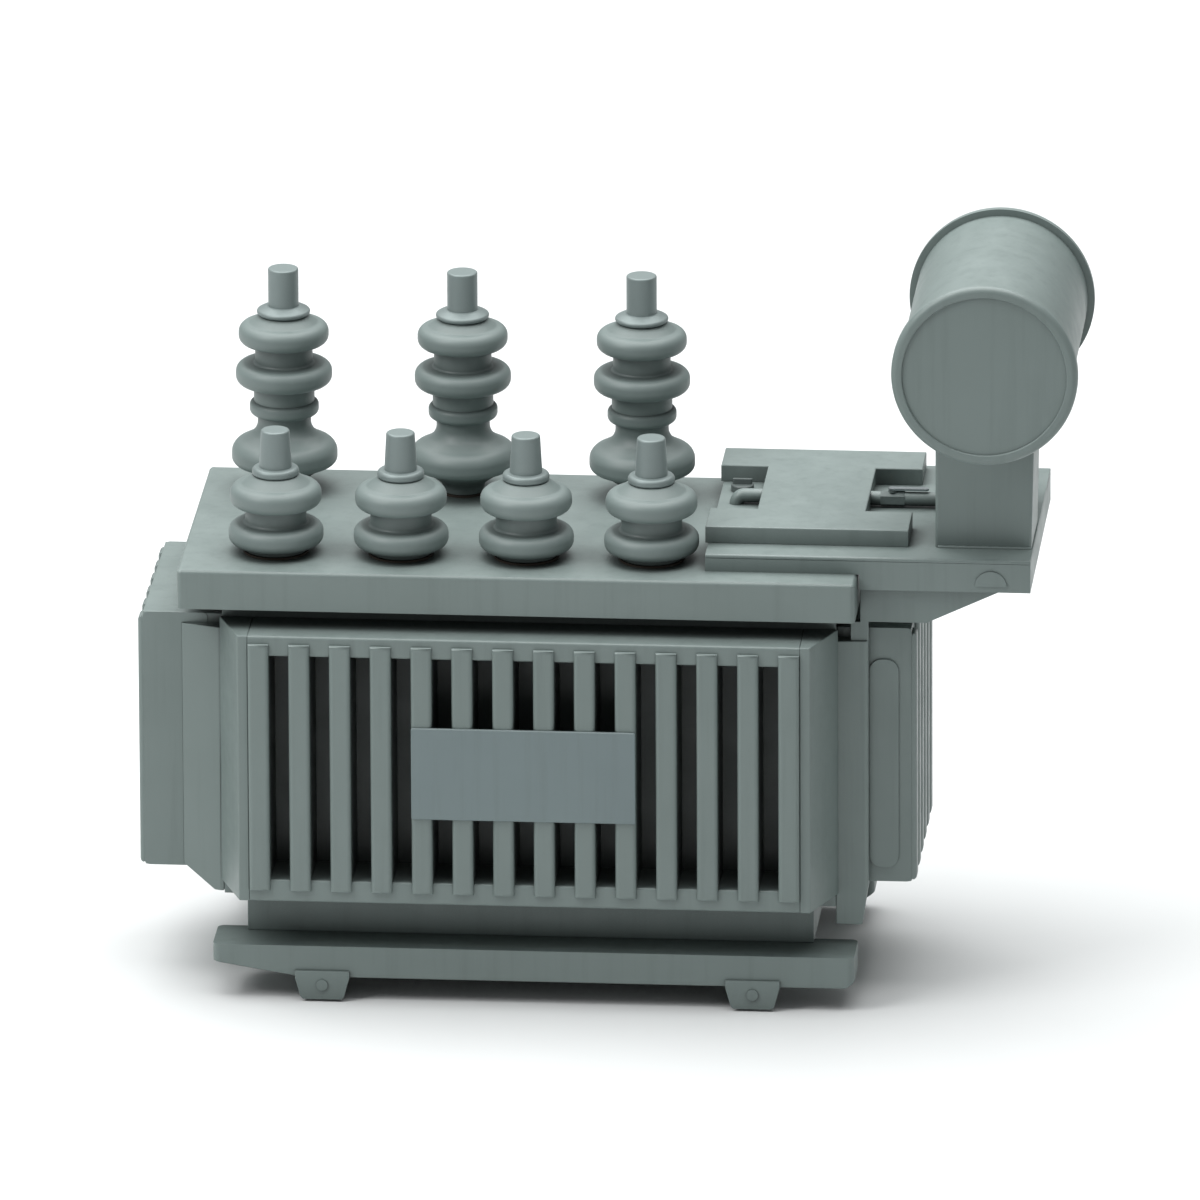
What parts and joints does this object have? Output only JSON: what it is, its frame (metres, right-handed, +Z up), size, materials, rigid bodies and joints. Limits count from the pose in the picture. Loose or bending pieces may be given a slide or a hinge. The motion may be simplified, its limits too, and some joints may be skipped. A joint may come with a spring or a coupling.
{
  "type": "oil-immersed distribution transformer",
  "caption": "Oil-immersed three-phase distribution transformer with finned tank, porcelain bushings, conservator drum and roller skid base.",
  "frame": {"origin": "on the ground under the centre of the tank", "axes": "+X along the tank towards the conservator, +Y from the low-voltage side to the high-voltage side, +Z up"},
  "size_m": [1.796, 0.749, 1.463],
  "materials": {
    "grey_paint": "semi-gloss enamel",
    "porcelain": "glazed",
    "plated_metal": "tinned",
    "cork_rubber": "matt",
    "cast_iron": "painted",
    "moulded_plastic": "moulded",
    "drying_agent": "granular",
    "clear_glass": "clear",
    "core_steel": "laminated",
    "winding": "paper-wrapped strip"
  },
  "bodies": {
    "root": {"breather_gel": "drying_agent", "breather_jar": "clear_glass", "breather_pipe": "grey_paint", "bushing_caps": "plated_metal", "bushing_gaskets": "cork_rubber", "conservator_pipe": "grey_paint", "core": "core_steel", "core_clamps": "grey_paint", "corner_posts": "grey_paint", "cross_beams": "grey_paint", "drain_valve_body": "grey_paint", "drum": "grey_paint", "drum_front_cap": "grey_paint", "drum_rear_cap": "grey_paint", "gauge_glass": "clear_glass", "gussets": "grey_paint", "hv_insulator_1": "porcelain", "hv_insulator_2": "porcelain", "hv_insulator_3": "porcelain", "hv_studs": "plated_metal", "hv_windings": "winding", "lid": "grey_paint", "lid_bolts": "plated_metal", "lid_gasket": "cork_rubber", "long_fins": "grey_paint", "long_headers": "grey_paint", "lower_insulators": "porcelain", "lv_insulator_1": "porcelain", "lv_insulator_2": "porcelain", "lv_insulator_3": "porcelain", "lv_insulator_4": "porcelain", "lv_studs": "plated_metal", "lv_windings": "winding", "nameplate": "grey_paint", "oil_gauge_case": "grey_paint", "pillar": "grey_paint", "pipe_guard": "grey_paint", "pipe_valve_body": "plated_metal", "platform_beams": "grey_paint", "platform_plate": "grey_paint", "plinth": "grey_paint", "radiator_end_plates": "grey_paint", "roller_axles": "plated_metal", "roller_cheeks": "grey_paint", "side_fins": "grey_paint", "side_headers": "grey_paint", "skids": "grey_paint", "stud_nuts": "plated_metal", "tank": "grey_paint"},
    "roller_front_left": {"roller_front_left": "cast_iron"},
    "roller_front_right": {"roller_front_right": "cast_iron"},
    "roller_rear_left": {"roller_rear_left": "cast_iron"},
    "roller_rear_right": {"roller_rear_right": "cast_iron"},
    "pipe_valve_lever": {"pipe_valve_lever": "plated_metal"},
    "oil_gauge_pointer": {"oil_gauge_pointer": "moulded_plastic"},
    "oil_float": {"oil_float": "moulded_plastic"},
    "drain_handwheel": {"drain_handwheel": "plated_metal"},
    "tap_changer": {"tap_changer_shaft": "moulded_plastic", "tap_changer_knob": "moulded_plastic"}
  },
  "joints": [
    {"name": "roller_front_left_spin", "type": "hinge", "parent": "root", "child": "roller_front_left", "pos_m": [-0.39, -0.266, 0.034], "axis": [0, 1, 0], "continuous": true},
    {"name": "roller_front_right_spin", "type": "hinge", "parent": "root", "child": "roller_front_right", "pos_m": [0.43, -0.266, 0.034], "axis": [0, 1, 0], "continuous": true},
    {"name": "roller_rear_left_spin", "type": "hinge", "parent": "root", "child": "roller_rear_left", "pos_m": [-0.39, 0.266, 0.034], "axis": [0, 1, 0], "continuous": true},
    {"name": "roller_rear_right_spin", "type": "hinge", "parent": "root", "child": "roller_rear_right", "pos_m": [0.43, 0.266, 0.034], "axis": [0, 1, 0], "continuous": true},
    {"name": "pipe_valve_turn", "type": "hinge", "parent": "root", "child": "pipe_valve_lever", "pos_m": [0.67, 0.06, 0.904], "axis": [0, 0, 1], "range_deg": [0, 90]},
    {"name": "oil_float_swing", "type": "hinge", "parent": "root", "child": "oil_float", "pos_m": [0.873, 0.14, 1.313], "axis": [0, 1, 0], "range_deg": [-45, 40]},
    {"name": "oil_gauge_turn", "type": "hinge", "parent": "root", "child": "oil_gauge_pointer", "pos_m": [0.873, 0.16, 1.313], "axis": [0, 1, 0], "range_deg": [-45, 40]},
    {"name": "drain_wheel_turn", "type": "hinge", "parent": "root", "child": "drain_handwheel", "pos_m": [0.66, 0.12, 0.205], "axis": [1, 0, 0], "range_deg": [0, 1080]},
    {"name": "tap_changer_turn", "type": "hinge", "parent": "root", "child": "tap_changer", "pos_m": [0.377, 0.14, 0.8], "axis": [0, 0, 1], "range_deg": [-60, 60]}
  ],
  "couplings": [
    {"joint": "oil_gauge_turn", "follows": "oil_float_swing", "ratio": 1}
  ]
}
